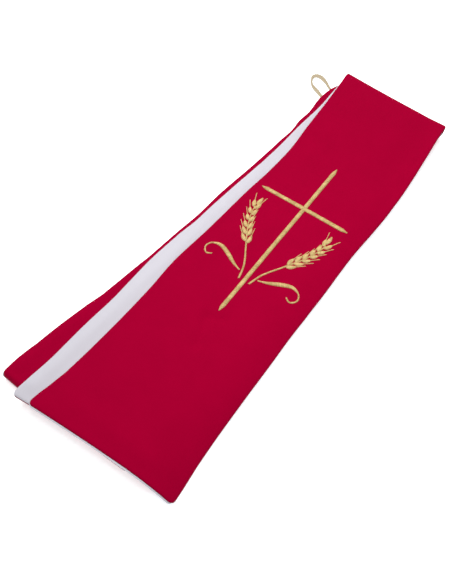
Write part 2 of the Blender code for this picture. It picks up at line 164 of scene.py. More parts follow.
# Soft ridges (plus) and troughs (minus) along lines, fading off over their half width, in the scene alone
Crease = namedtuple("Crease", "start finish half_width height")
SHARED_CREASES = (
    Crease((143, -5), (119, 6), 4, -0.9),
    Crease((147, -1), (150, 9), 4, -0.6),
    Crease((218, -17), (208, -8), 4, -0.6),
)
UPPER_CREASES = (
    Crease((336, 74), (424, 69), 12, 4.4),
    Crease((376, 39), (428, 37), 11, -0.7),
    Crease((-2, 70), (190, 63), 9, -1.2),
    Crease((21, -48), (17, 42), 9, 0.7),
    Crease((376, -31), (351, -24), 7, 0.5),
)
SECOND_CREASES = (
    Crease((14, -80), (125, -70), 6.5, 1.7),
    Crease((135, -70), (210, -64), 6.0, 1.5),
    Crease((220, -64), (300, -56.5), 5.0, 1.0),
)
THIRD_CREASES = (
    Crease((22, -103), (86, -92), 6.0, 1.0),
    Crease((95, -91), (155, -82.5), 4.5, 0.8),
)
COVERED_FADE = 5.0  # a crease fades away over this width under the stretch that covers it

# Hidden thicknesses: heights of what parts their faces, from the table up, at the two ends
HEM_END_LEVELS = (0.0, 1.25, 2.6, 3.52, 4.45, 5.37, HIDDEN_TOP)
NECK_END_LEVELS = (0.0, 0.93, 1.86, 2.79, 3.85, 5.1, HIDDEN_TOP)
LEVELS_START, LEVELS_RUN = 30.0, 370.0  # the hem end's heights pass into the neck end's here
FACES_APART = 0.05  # half the gap between faces that lie on each other
NOSE_REACH = 1.85  # the inner nose at the hem end, and the neck's
TIGHT = 0.06  # the innermost radius of a pressed fold

# Hidden outlines, inside the third stretch's and never quite straight
HIDDEN_INSET = 2.2
LOWEST_INSET = 0.8  # side A's last stretch lies this much further in
LONG_DRIFT, LONG_WAVE = 0.6, 31
SHORT_DRIFT, SHORT_WAVE = 0.35, 13
RIGHT_DRIFT = 0.7  # the right edge's share of the drift
SECOND_RUN_LEAVES = 360  # from here side A's second stretch runs to the outer fold's ends
SECOND_RUN_END = (
    Edge(400, -59.0, 50.5),
    Edge(430, -56.4, 54.0),
    Edge(447, -55.0, 55.3),
)

# Mesh divisions
EDGE_STEPS = (0.0, 0.12, 0.4, 0.9, 1.6)
HEM_STEPS = (0.0, 0.12, 0.4, 0.9, 1.6, 2.6, 4.0, 6.0)
TURN = 1.6  # a turned edge is round over this width
ROLL_FADE = 3.0  # a rolled side edge dies out over this width at the hem
STEP_CLEARANCE = 0.5  # the even steps start this far past the hem's own
COLUMNS = 60
SHOWN_STEPS, HIDDEN_STEPS = 205, 84
BEND_STEPS, FEWEST_BEND_STEPS = 14, 4
HALF_TURN = 180
MIDDLE_ALONG = 200.0  # a place on each first stretch that is far from its ends
MAP_UNIT = 100.0  # the cloth's map has one unit for this many millimetres

# Hanging loop, on the route of the part's source
LOOP_ROUTE = (
    (415.8, -60.3), (416.9, -63.8), (418.7, -68.1), (421.6, -74.1), (423.3, -78.3), (425.4, -81.9),
    (428.3, -84.4), (431.3, -86.0), (435.4, -86.9), (438.2, -85.0), (439.1, -81.9), (438.6, -78.7),
    (437.1, -74.8), (435.1, -71.1), (432.9, -67.9), (430.9, -64.4), (429.7, -61.5), (428.5, -58.1),
)
LOOP_HALF_WIDTH, LOOP_HALF_THICKNESS = 2.0, 0.6
# The flat braid twists as it goes round: the half width that shows at each point of its route
LOOP_SHOWN = (
    1.2, 1.4, 1.9, 2.15, 1.85, 1.25, 0.95, 1.1, 2.0, 2.4, 2.5, 2.4, 2.05, 1.55, 1.35, 1.25, 1.2, 1.15,
)

# Embroidery
BAR_HALF_WIDTH = 1.9
UPRIGHT_FOOT, UPRIGHT_HEAD = (155.0, 0.5), (338.0, 0.5)
CROSSING_ALONG = 284.0
ARM_REACH = 45.0
POINT_LENGTH = 5.0
SPRAY_ROUTE = ((191.0, 5.2), (205.0, 9.5), (222.0, 19.5), (240.0, 30.0), (258.0, 36.5), (272.0, 36.0))
LEAF_ROUTE = (
    (198.0, 9.6), (201.0, 18.0), (206.0, 27.5), (209.5, 37.0),
    (207.0, 45.0), (201.0, 47.5), (196.0, 43.5), (198.0, 38.5),
)
STALK_HALF_WIDTH = 0.9
EAR_START = 0.40
GRAINS = 6
LEAF_HALF_WIDTH = 2.0
CURL_HALF_WIDTH = 0.7
LEAF_BLADE = 0.72


# ---- objects and camera

def linked(name, data):
    """A new object in the scene."""
    made = bpy.data.objects.new(name, data)
    bpy.context.scene.collection.objects.link(made)
    return made


def smooth_piece(name, mesh, material):
    mesh.shade_smooth()
    mesh.materials.append(material)
    return linked(name, mesh)


def back_vector(azimuth, elevation):
    """Unit vector from what is looked at to the camera. Azimuth 0 looks along +Y."""
    a, e = radians(azimuth), radians(elevation)
    return Vector((sin(a) * cos(e), -cos(a) * cos(e), sin(e)))


def make_camera():
    camera = linked("camera", bpy.data.cameras.new("camera"))
    camera.data.sensor_width = SENSOR_WIDTH
    camera.data.lens = SENSOR_WIDTH * FOCAL_PIXELS / LONG_SIDE_PIXELS
    back = back_vector(CAMERA_AZIMUTH, CAMERA_ELEVATION)
    camera.location = LOOK_AT + back * CAMERA_DISTANCE
    camera.rotation_euler = back.to_track_quat("Z", "Y").to_euler()
    bpy.context.scene.camera = camera


# ---- curves and outlines

def smooth_step(x):
    x = np.clip(x, 0.0, 1.0)
    return x * x * (3.0 - 2.0 * x)


def mix(a, b, share):
    return a + (b - a) * share


def cubic(p0, p1, p2, p3, x):
    """Catmull-Rom value between p1 and p2."""
    slope_1 = 0.5 * (p2 - p0)
    slope_2 = 0.5 * (p3 - p1)
    rise = p2 - p1
    return p1 + x * (slope_1 + x * (3 * rise - 2 * slope_1 - slope_2 + x * (slope_1 + slope_2 - 2 * rise)))


def outline_at(outline, along):
    """The left and right edges at places along, smooth through the outline's rows."""
    rows = np.array(outline)
    last = len(rows) - 1
    along = np.asarray(along, float)
    here = np.clip(np.searchsorted(rows[:, 0], along, side="right") - 1, 0, last - 1)
    before, after, beyond = np.maximum(here - 1, 0), here + 1, np.minimum(here + 2, last)
    x = np.clip((along - rows[here, 0]) / (rows[after, 0] - rows[here, 0]), 0.0, 1.0)
    return tuple(
        cubic(rows[before, side], rows[here, side], rows[after, side], rows[beyond, side], x)
        for side in (1, 2)
    )


def end_line_at(line, across):
    share = (across - line.left_across) / (line.right_across - line.left_across)
    return mix(line.left_along, line.right_along, share) + 4 * line.bow * share * (1 - share)


def smooth_route(points, per_span):
    """Points along a smooth curve through a route's own points."""
    route = []
    last = len(points) - 1
    for i in range(last):
        p0, p1 = points[max(i - 1, 0)], points[i]
        p2, p3 = points[i + 1], points[min(i + 2, last)]
        for k in range(per_span):
            x = k / per_span
            route.append(tuple(cubic(*values, x) for values in zip(p0, p1, p2, p3)))
    route.append(tuple(points[-1]))
    return route


def place(along, across, height):
    """Points in the part's frame, in metres."""
    return np.stack(
        ((across - ORIGIN_ACROSS) * MM, (along - ORIGIN_ALONG) * MM, height * MM), axis=-1
    )


# ---- relief

def crease_at(along, across, creases):
    height = 0.0
    for crease in creases:
        (from_along, from_across), (to_along, to_across) = crease.start, crease.finish
        run_along, run_across = to_along - from_along, to_across - from_across
        share = (along - from_along) * run_along + (across - from_across) * run_across
        share = np.clip(share / (run_along ** 2 + run_across ** 2), 0.0, 1.0)
        off_along = along - mix(from_along, to_along, share)
        off_across = across - mix(from_across, to_across, share)
        height = height + crease.height * np.exp(-(off_along ** 2 + off_across ** 2) / crease.half_width ** 2)
    return height


def swell_at(along, across):
    """The relief that all the stretches share."""
    height = crease_at(along, across, SHARED_CREASES)
    for swell in SWELLS:
        turn = radians(swell.turn)
        d_along, d_across = along - swell.along, across - swell.across
        u = (d_along * cos(turn) + d_across * sin(turn)) / swell.half_length
        v = (d_across * cos(turn) - d_along * sin(turn)) / swell.half_width
        height = height + swell.height * np.exp(-u * u - v * v)
    hem_end = smooth_step((along - HEM_FOLD_TUCK) / SWELL_FADE)
    fold_end = smooth_step((INNER_FOLD.right_along - OUTER_TUCK - along) / SWELL_FADE)
    return height * hem_end * fold_end


def puff_at(along, height):
    return height * smooth_step((along - PUFF_START) / (PUFF_END - PUFF_START))


def sag_at(along, across):
    overhang = np.maximum(across - outline_at(THIRD_OUTLINE, along)[1], 0.0)
    sag = SAG_DEPTH * (overhang / SAG_RUN) ** SAG_POWER
    carried_from = end_line_at(HEM_FOLD, np.minimum(across, HEM_FOLD.right_across)) + HEM_FOLD_REACH
    hem = np.maximum(carried_from - along, 0.0)
    return sag + HEM_DIP * (hem / HEM_DIP_RUN) ** 2


def upper_relief(along, across):
    return swell_at(along, across) + crease_at(along, across, UPPER_CREASES) - sag_at(along, across)


def top_relief(along, across):
    return upper_relief(along, across) + puff_at(along, TOP_PUFF)


def beside(outline, along, across, height):
    """A lower stretch's own creases, which end at the left edge of the one that covers it."""
    return height * smooth_step((outline_at(outline, along)[0] - across) / COVERED_FADE + 0.5)


def second_relief(along, across):
    own = beside(TOP_OUTLINE, along, across, crease_at(along, across, SECOND_CREASES))
    return upper_relief(along, across) + puff_at(along, SECOND_PUFF) + own


def third_relief(along, across):
    own = beside(SECOND_OUTLINE, along, across, crease_at(along, across, THIRD_CREASES))
    return swell_at(along, across) + own


def top_surface(along, across):
    """Height of side A's red face where it shows."""
    return TOP_SURFACE + top_relief(along, across)


# ---- faces of cloth

# How a face meets its pair at the turned edge: how far it reaches past the side edges and past the hem,
# and how far past the seam it rolls
Trim = namedtuple("Trim", "side hem roll", defaults=(0.0, 0.0, 0.0))
EVEN = Trim()
TOP_RED_TRIM = Trim(0.35, 0.0, 0.7)
TOP_WHITE_TRIM = Trim(-0.55, 1.6, 0.0)  # it shows past the red face at the hem
SECOND_WHITE_TRIM = Trim(0.1)
SECOND_RED_TRIM = Trim(-0.3, 0.5)

# A flat run of a face: where it starts and ends along (functions of across), its outline, the heights
# of its right side and of its seam side, its rows, whether it starts at a hem, and its trim
Flat = namedtuple("Flat", "start finish outline face back steps hem trim", defaults=(False, EVEN))
# A fold between two flat runs: its line along, which way it points, how far each side reaches, and how
# many degrees it turns through
Bend = namedtuple("Bend", "tip direction face_reach back_reach turn", defaults=(HALF_TURN,))
QUARTER_TURN = 90


def line(end_line, offset=0.0):
    """An end line as a function of across, moved along by an offset."""
    return lambda across: end_line_at(end_line, across) + offset


def level(index, offset=0.0):
    """Height of one of the levels that part the hidden faces."""
    def height(along, across):
        share = smooth_step((along - LEVELS_START) / LEVELS_RUN)
        rise = swell_at(along, across) * index / (len(HEM_END_LEVELS) - 1)
        return mix(HEM_END_LEVELS[index], NECK_END_LEVELS[index], share) + offset + rise
    return height


def on(base, relief):
    """Height function of a surface at base, with a relief."""
    return lambda along, across: base + relief(along, across)


def hem_inset(distance):
    """How far a hem's rounded corner draws the side edges in, at a distance from the hem line."""
    short = np.clip(HEM_CORNER - distance, 0.0, HEM_CORNER)
    return HEM_CORNER - np.sqrt(HEM_CORNER ** 2 - short ** 2)


def turned(distance):
    """Share of its thickness that a face has come down by, near its turned edge."""
    x = np.clip(1.0 - distance / TURN, 0.0, 1.0)
    return 1.0 - np.sqrt(1.0 - x * x)


def across_row(outline, along, inset):
    """Positions across and distances from the side edges, for one row."""
    shares = np.arange(1, COLUMNS) / COLUMNS
    steps = np.array(EDGE_STEPS)
    share = np.concatenate((np.zeros(len(steps)), shares, np.ones(len(steps))))
    shift = np.concatenate((steps, np.zeros(COLUMNS - 1), -steps[::-1]))
    left, right = outline_at(outline, along)
    left, right = left + inset, right - inset
    across = mix(left, right, share) + shift
    return across, np.minimum(across - left, right - across)


def row_on(outline, line_at, inset=0.0):
    """One row on a line: positions along and across, and distances from the side edges."""
    along = np.full(COLUMNS - 1 + 2 * len(EDGE_STEPS), line_at(0.0))
    # The outline depends on along and the line on across, so they are found in turns
    for _ in range(3):
        across, distance = across_row(outline, along, inset)
        along = line_at(across)
    return along, across, distance


def flat_rows(flat):
    """Rows of (face points, back points, distance from the border, roll) of a flat run."""
    length = abs(flat.finish(0.0) - flat.start(0.0))
    shares = list(np.linspace(0.0, 1.0, flat.steps + 1))
    if flat.hem:
        near = [step / length for step in HEM_STEPS]
        shares = near + [share for share in shares if share * length > HEM_STEPS[-1] + STEP_CLEARANCE]
    rows = []
    for share in shares:
        inset = (hem_inset(share * length) if flat.hem else 0.0) - flat.trim.side

        def station(across, share=share):
            return mix(flat.start(across), flat.finish(across), share)

        along, across, distance = row_on(flat.outline, station, inset)
        rolled = np.full(len(along), flat.trim.roll)
        if flat.hem:
            rolled = rolled * smooth_step((share * length - distance) / ROLL_FADE + 0.5)
            distance = np.minimum(distance, share * length)
        rows.append((
            np.stack((along, across, flat.face(along, across)), axis=-1),
            np.stack((along, across, flat.back(along, across)), axis=-1),
            distance,
            rolled,
        ))
    return rows


def bend_rows(bend, before, after):
    """Rows round a fold, from the flat run before it to the one after."""
    rows = []
    widest = max(bend.face_reach, bend.back_reach)
    steps = max(round(BEND_STEPS * bend.turn / HALF_TURN), FEWEST_BEND_STEPS)
    for i in range(1, steps):
        angle = radians(bend.turn) * i / steps

        def station(across):
            return bend.tip(across) - bend.direction * widest

        share = i / steps * bend.turn / HALF_TURN
        one = row_on(before.outline, station, -before.trim.side)
        two = row_on(after.outline, station, -after.trim.side)
        along, across, distance = (mix(a, b, share) for a, b in zip(one, two))
        sides = []
        for high, low, reach in (
            (before.face, after.face, bend.face_reach),
            (before.back, after.back, bend.back_reach),
        ):
            first, second = high(along, across), low(along, across)
            middle, half = (first + second) / 2, (first - second) / 2
            out = along + bend.direction * reach * sin(angle)
            sides.append(np.stack((out, across, middle + half * cos(angle)), axis=-1))
        rolled = mix(before.trim.roll, after.trim.roll, share)
        rows.append((sides[0], sides[1], distance, np.full(len(distance), rolled)))
    return rows


def cloth_rows(course):
    """All rows of a face, from its hem to the neck seam."""
    rows = []
    for i, run in enumerate(course):
        if isinstance(run, Flat):
            rows += flat_rows(run)
        else:
            after = course[i + 1] if i + 1 < len(course) else course[i - 1]
            rows += bend_rows(run, course[i - 1], after)
    return rows


def cloth_mesh(name, course, material):
    """A closed face of cloth: a right side and a seam side that meet all round at the turned edge."""
    rows = cloth_rows(course)
    face = np.array([row[0] for row in rows])
    back = np.array([row[1] for row in rows])
    distance = np.array([row[2] for row in rows])
    rolled = np.array([row[3] for row in rows])
    distance[-1] = 0.0
    thick = np.linalg.norm(back - face, axis=-1)
    down = turned(distance) * (1.0 + rolled / thick)
    face = face + (back - face) * down[..., None]
    inner = np.zeros(distance.shape, bool)
    inner[1:-1, 1:-1] = True
    face_index = np.arange(distance.size).reshape(distance.shape)
    back_index = face_index.copy()
    back_index[inner] = distance.size + np.arange(inner.sum())
    points = np.concatenate((face.reshape(-1, 3), back[inner]))

    def quads(index, flip):
        corners = [index[:-1, :-1], index[:-1, 1:], index[1:, 1:], index[1:, :-1]]
        if flip:
            corners.reverse()
        return np.stack(corners, axis=-1).reshape(-1, 4)

    up = course[0].face(MIDDLE_ALONG, 0.0) > course[0].back(MIDDLE_ALONG, 0.0)
    faces = np.concatenate((quads(face_index, not up), quads(back_index, up)))
    mesh = bpy.data.meshes.new(name)
    mesh.from_pydata(place(*points.T), [], faces.tolist())
    lay_map(mesh, face, inner)
    return smooth_piece(name, mesh, material)


def lay_map(mesh, face, inner):
    """A map in the cloth's own plane, so that the weave follows the folds."""
    run = np.zeros(face.shape[:2])
    run[1:] = np.cumsum(np.linalg.norm(np.diff(face, axis=0), axis=-1), axis=0)
    flat = np.stack((face[..., 1], run), axis=-1) / MAP_UNIT
    values = np.concatenate((flat.reshape(-1, 2), flat[inner]))
    layer = mesh.uv_layers.new(name="cloth")
    corners = np.zeros(len(mesh.loops), np.int32)
    mesh.loops.foreach_get("vertex_index", corners)
    layer.data.foreach_set("uv", values[corners].astype(np.float32).ravel())


def drifting(outline, inset, phase):
    """A hidden stretch's outline: a little inside the one that covers it, and never quite straight."""
    rows = []
    for edge in outline:
        drift = LONG_DRIFT * sin(edge.along / LONG_WAVE + phase)
        drift += SHORT_DRIFT * sin(edge.along / SHORT_WAVE + 2 * phase)
        rows.append(Edge(edge.along, edge.left + inset + drift, edge.right - inset + RIGHT_DRIFT * drift))
    return tuple(rows)


# Where a side runs: hem, first fold and its reach, three outlines, the rows of its second stretch, and its
# fold at the hem end
Layout = namedtuple("Layout", "hem fold reach top_run second_run third_run second_steps nose")


def course(layout, trim, heights, reaches):
    """A face's runs and folds. Each has a pair of heights or reaches: for its right and its seam side."""
    (top, top_back), (low_2, back_2), (low_3, back_3) = heights
    fold_reach, nose_reach, neck_reach = reaches
    fold_start, nose_start = line(layout.fold, -layout.reach), line(HEM_FOLD, HEM_FOLD_REACH)
    return (
        Flat(line(layout.hem, -trim.hem), fold_start, layout.top_run, top, top_back, SHOWN_STEPS, True, trim),
        Bend(line(layout.fold), 1, *fold_reach),
        Flat(fold_start, nose_start, layout.second_run, low_2, back_2, layout.second_steps),
        Bend(layout.nose, -1, *nose_reach),
        Flat(nose_start, line(NECK_END, -NOSE_REACH), layout.third_run, low_3, back_3, HIDDEN_STEPS),
        Bend(line(NECK_END), 1, *neck_reach, QUARTER_TURN),
    )


THICK = WALL + SEAM_FILL
SEAM = FACES_APART / 2  # half the gap between a hidden pair's seam sides


def side_a():
    """The courses of side A's red and white faces."""
    hidden = drifting(THIRD_OUTLINE, HIDDEN_INSET, phase=0.4)
    second_run = tuple(row for row in hidden if row.along < SECOND_RUN_LEAVES) + SECOND_RUN_END
    third_run = drifting(THIRD_OUTLINE, HIDDEN_INSET + LOWEST_INSET, phase=2.1)
    nose = line(HEM_FOLD, HEM_FOLD_REACH - NOSE_REACH)
    layout = Layout(TOP_HEM, OUTER_FOLD, OUTER_REACH, TOP_OUTLINE, second_run, third_run, HIDDEN_STEPS, nose)
    red = course(
        layout,
        TOP_RED_TRIM,
        heights=(
            (on(TOP_SURFACE, top_relief), on(TOP_SURFACE - THICK, top_relief)),
            (level(4, FACES_APART), level(5, -SEAM)),
            (level(4, -FACES_APART), level(3, SEAM)),
        ),
        reaches=((OUTER_REACH, OUTER_REACH - THICK), (TIGHT, NOSE_REACH / 2), (NOSE_REACH, NOSE_REACH / 2)),
    )
    white = course(
        layout,
        TOP_WHITE_TRIM,
        heights=(
            (on(TOP_WHITE, top_relief), on(TOP_WHITE + THICK, top_relief)),
            (level(6, -FACES_APART), level(5, SEAM)),
            (level(2, FACES_APART), level(3, -SEAM)),
        ),
        reaches=(
            (OUTER_REACH - FACE - WALL, OUTER_REACH - FACE + SEAM_FILL),
            (NOSE_REACH, NOSE_REACH / 2 + SEAM),
            (TIGHT, NOSE_REACH / 2 - SEAM),
        ),
    )
    return red, white


def side_b():
    """The courses of side B's red and white faces."""
    third_run = drifting(THIRD_OUTLINE, HIDDEN_INSET, phase=4.0)
    third_run = (THIRD_OUTLINE[0],) + third_run[1:]
    nose = line(HEM_FOLD)
    layout = Layout(SECOND_HEM, INNER_FOLD, INNER_REACH, SECOND_OUTLINE, THIRD_OUTLINE, third_run,
                    SHOWN_STEPS, nose)
    white = course(
        layout,
        SECOND_WHITE_TRIM,
        heights=(
            (on(SECOND_WHITE + WALL, second_relief), on(SECOND_WHITE - SEAM_FILL, second_relief)),
            (on(THIRD_WHITE, third_relief), on(THIRD_WHITE + THICK, third_relief)),
            (level(2, -FACES_APART), level(1, SEAM)),
        ),
        reaches=(
            (INNER_REACH, INNER_REACH - THICK),
            (HEM_FOLD_REACH - FACE - WALL, HEM_FOLD_REACH - FACE + SEAM_FILL),
            (TIGHT, NOSE_REACH / 2 - SEAM),
        ),
    )
    red = course(
        layout,
        SECOND_RED_TRIM,
        heights=(
            (on(SECOND_RED, second_relief), on(SECOND_RED + THICK, second_relief)),
            (on(THIRD_RED + WALL, third_relief), on(THIRD_RED - SEAM_FILL, third_relief)),
            (level(0), level(1, -SEAM)),
        ),
        reaches=(
            (INNER_REACH - FACE - WALL, INNER_REACH - FACE + SEAM_FILL),
            (HEM_FOLD_REACH, HEM_FOLD_REACH - THICK),
            (NOSE_REACH, NOSE_REACH / 2),
        ),
    )
    return red, white


# ---- materials

class Nodes:
    """A material's node tree, with short calls for the nodes that patterns need."""

    def __init__(self, name):
        self.material = bpy.data.materials.new(name)
        self.material.use_nodes = True
        self.tree = self.material.node_tree
        self.shader = self.tree.nodes["Principled BSDF"]

    def add(self, kind, **settings):
        node = self.tree.nodes.new(kind)
        for key, value in settings.items():
            setattr(node, key, value)
        return node

    def feed(self, socket, value):
        if hasattr(value, "is_linked"):
            self.tree.links.new(value, socket)
        else:
            socket.default_value = value

    def math(self, operation, a, b=0.0):
        node = self.add("ShaderNodeMath", operation=operation)
        self.feed(node.inputs[0], a)
        self.feed(node.inputs[1], b)
        return node.outputs[0]

    def blend(self, share, a, b):
        """A colour between two, by a share."""
        node = self.add("ShaderNodeMix", data_type="RGBA")
        self.feed(node.inputs["Factor"], share)
        self.feed(node.inputs[6], a)
        self.feed(node.inputs[7], b)
        return node.outputs[2]

    def noise(self, vector, scale, detail=2.0, roughness=0.5):
        node = self.add("ShaderNodeTexNoise")
        self.feed(node.inputs["Vector"], vector)
        node.inputs["Scale"].default_value = scale
        node.inputs["Detail"].default_value = detail
        node.inputs["Roughness"].default_value = roughness
        return node.outputs["Fac"]

    def spread(self, value, low, high):
        """A value stretched so that low to high becomes 0 to 1."""
        node = self.add("ShaderNodeMapRange")
        self.feed(node.inputs["Value"], value)
        node.inputs["From Min"].default_value = low
        node.inputs["From Max"].default_value = high
        return node.outputs["Result"]

    def bump(self, height, distance, strength=1.0):
        node = self.add("ShaderNodeBump")
        node.inputs["Distance"].default_value = distance
        node.inputs["Strength"].default_value = strength
        self.feed(node.inputs["Height"], height)
        self.tree.links.new(node.outputs["Normal"], self.shader.inputs["Normal"])

    def colour(self, value):
        self.feed(self.shader.inputs["Base Color"], value)


TWILL_PITCH = 0.55  # between the diagonal ribs
TWILL_ANGLE = 27.0  # the ribs' lean from the length of the cloth
FLOAT_PITCH = 0.62  # between the yarns' floats along a rib
YARN_WANDER = 0.35
RIB_HEIGHT, FLOAT_HEIGHT = 0.5, 0.18  # shares of the weave's height
VALLEY_FROM, VALLEY_TO = -0.7, 0.2  # heights of the weave between which the painted shade in its valleys gives way
WANDER_SCALE, MOTTLE_SCALE, GLOSS_SCALE = 0.8, 0.035, 0.2  # noise, to the millimetre
GLOSS_LOW, GLOSS_HIGH = -2.2, 1.6  # noise values that would give a roughness of 0 and of 1
NOISE_LOW, NOISE_HIGH = 0.3, 0.7  # noise seldom leaves this range
WEAVE_BUMP, WEAVE_BUMP_STRENGTH = 0.00005, 0.6
CLOTH_SPECULAR = 0.03
SHEEN_WEIGHT, SHEEN_ROUGHNESS = 0.05, 0.5
THREAD_DARK, THREAD_LIGHT = (0.34, 0.215, 0.066, 1), (0.713, 0.555, 0.253, 1)
BRAID_DARK, BRAID_LIGHT = (0.238, 0.187, 0.104, 1), (0.47, 0.38, 0.255, 1)
THREAD_FLECK_SCALE, BRAID_FLECK_SCALE = 900.0, 1500.0  # noise, to the metre

# A cloth's painted shade in the valleys between its ribs, its two shades of dye on the ribs, and the tints of
# its shine
DyeAndShade = namedtuple("DyeAndShade", "deep full bright sheen specular")
RED_DYE_AND_SHADE = DyeAndShade(
    deep=(0.208, 0.0, 0.015, 1),
    full=(0.287, 0.0, 0.022, 1),
    bright=(0.310, 0.0, 0.024, 1),
    sheen=(0.9, 0.0, 0.10, 1),
    specular=(1.0, 0.0, 0.12, 1),
)
WHITE_DYE_AND_SHADE = DyeAndShade(
    deep=(0.416, 0.402, 0.441, 1),
    full=(0.501, 0.485, 0.531, 1),
    bright=(0.523, 0.506, 0.553, 1),
    sheen=(1.0, 1.0, 1.0, 1),
    specular=(1.0, 1.0, 1.0, 1),
)


def gabardine(name, dye_and_shade):
    """Steep fine twill: raised diagonal ribs made of short floats, painted shade in the valleys between them,
    and a slow mottle in the dye.
    """
    nodes = Nodes(name)
    cloth = nodes.add("ShaderNodeUVMap", uv_map="cloth").outputs["UV"]
    millimetres = nodes.add("ShaderNodeVectorMath", operation="SCALE")
    nodes.feed(millimetres.inputs[0], cloth)
    millimetres.inputs["Scale"].default_value = MAP_UNIT
    turn = nodes.add("ShaderNodeMapping")
    nodes.feed(turn.inputs["Vector"], millimetres.outputs[0])
    turn.inputs["Rotation"].default_value = (0.0, 0.0, radians(TWILL_ANGLE))
    split = nodes.add("ShaderNodeSeparateXYZ")
    nodes.feed(split.inputs[0], turn.outputs["Vector"])
    wander = nodes.noise(millimetres.outputs[0], WANDER_SCALE, detail=3.0)
    wander = nodes.math("MULTIPLY", wander, YARN_WANDER)
    over_ribs = nodes.math("ADD", split.outputs["X"], wander)
    rib = nodes.math("SINE", nodes.math("MULTIPLY", over_ribs, 2 * pi / TWILL_PITCH))
    floats = nodes.math("SINE", nodes.math("MULTIPLY", split.outputs["Y"], 2 * pi / FLOAT_PITCH))
    rib = nodes.math("MULTIPLY", rib, RIB_HEIGHT)
    floats = nodes.math("MULTIPLY", floats, FLOAT_HEIGHT)
    height = nodes.math("ADD", rib, floats)
    mottle = nodes.noise(millimetres.outputs[0], MOTTLE_SCALE, detail=4.0, roughness=0.6)
    dyed = nodes.blend(nodes.spread(mottle, NOISE_LOW, NOISE_HIGH), dye_and_shade.full, dye_and_shade.bright)
    # painted shade: the weave's valleys take the darker deep colour
    valley = nodes.spread(height, VALLEY_FROM, VALLEY_TO)
    nodes.colour(nodes.blend(valley, dye_and_shade.deep, dyed))
    nodes.bump(height, WEAVE_BUMP, WEAVE_BUMP_STRENGTH)
    gloss = nodes.noise(millimetres.outputs[0], GLOSS_SCALE, detail=3.0)
    nodes.feed(nodes.shader.inputs["Roughness"], nodes.spread(gloss, GLOSS_LOW, GLOSS_HIGH))
    nodes.shader.inputs["Specular IOR Level"].default_value = CLOTH_SPECULAR
    nodes.shader.inputs["Specular Tint"].default_value = dye_and_shade.specular
    nodes.shader.inputs["Sheen Weight"].default_value = SHEEN_WEIGHT
    nodes.shader.inputs["Sheen Roughness"].default_value = SHEEN_ROUGHNESS
    nodes.shader.inputs["Sheen Tint"].default_value = dye_and_shade.sheen
    return nodes.material


def embroidery_thread():
    """Lustrous gold thread, each stitch a little lighter or darker, and the underlay darker still as painted
    shade between the stitches.
    """
    nodes = Nodes("gold_thread")
    tone = nodes.add("ShaderNodeAttribute", attribute_name="tone").outputs["Fac"]
    place_m = nodes.add("ShaderNodeTexCoord").outputs["Object"]
    fleck = nodes.spread(nodes.noise(place_m, THREAD_FLECK_SCALE), NOISE_LOW, NOISE_HIGH)
    share = nodes.math("ADD", nodes.math("MULTIPLY", tone, 0.8), nodes.math("MULTIPLY", fleck, 0.2))
    nodes.colour(nodes.blend(share, THREAD_DARK, THREAD_LIGHT))
    nodes.bump(fleck, distance=0.00003, strength=0.4)
    nodes.shader.inputs["Roughness"].default_value = 0.42
    nodes.shader.inputs["Specular IOR Level"].default_value = 0.6
    nodes.shader.inputs["Specular Tint"].default_value = (1.0, 0.9, 0.6, 1)
    return nodes.material


def loop_braid():
    """Cream and pale gold braid, with painted shade between its strands and in its groove."""
    nodes = Nodes("loop_braid")
    tone = nodes.add("ShaderNodeAttribute", attribute_name="tone").outputs["Fac"]
    place_m = nodes.add("ShaderNodeTexCoord").outputs["Object"]
    fleck = nodes.noise(place_m, BRAID_FLECK_SCALE)
    share = nodes.math("ADD", nodes.math("MULTIPLY", tone, 0.75), nodes.math("MULTIPLY", fleck, 0.25))
    nodes.colour(nodes.blend(share, BRAID_DARK, BRAID_LIGHT))
    nodes.bump(fleck, distance=0.00004, strength=0.5)
    nodes.shader.inputs["Roughness"].default_value = 0.6
    nodes.shader.inputs["Specular IOR Level"].default_value = 0.4
    return nodes.material


# ---- loop

LOOP_SIDES = 20
RING_STEP = 0.22
PLAIT_PITCH = 1.7
STRAND_SLANT = 0.9  # a strand runs on this far for each millimetre out from the groove
GROOVE_HALF_WIDTH = 0.28
# Shares of the half thickness: between the strands, what a strand adds, and what the groove takes off
PLAIT_BASE, PLAIT_STRAND, PLAIT_GROOVE = 0.74, 0.26, 0.28
WAIST, WAIST_STRAND = 0.93, 0.07  # shares of the half width: between strands, and added by one
TWIST_THICKENS = 0.5  # share added to the thickness for each millimetre that the twist hides
# Tones of the braid: painted shade between its strands, and what a strand's crest adds to it
GAP_SHADE_TONE, TONE_STRAND = 0.25, 0.75
GROOVE_SHADE = 0.6
CURVE_POINTS = 12  # to each span of a smooth route


def even_route(route, step):
    """A route's points again, at an even step, with the tangent at each and the distance run."""
    points = np.array(route)
    run = np.concatenate(([0.0], np.cumsum(np.linalg.norm(np.diff(points[:, :2], axis=0), axis=1))))
    count = max(round(run[-1] / step), 2)
    at = np.linspace(0.0, run[-1], count + 1)
    even = np.stack([np.interp(at, run, column) for column in points.T], axis=-1)
    tangent = np.gradient(even[:, :2], axis=0)
    tangent /= np.linalg.norm(tangent, axis=1)[:, None]
    return even, tangent, at


def sideways(tangent):
    return np.stack((-tangent[:, 1], tangent[:, 0]), axis=-1)


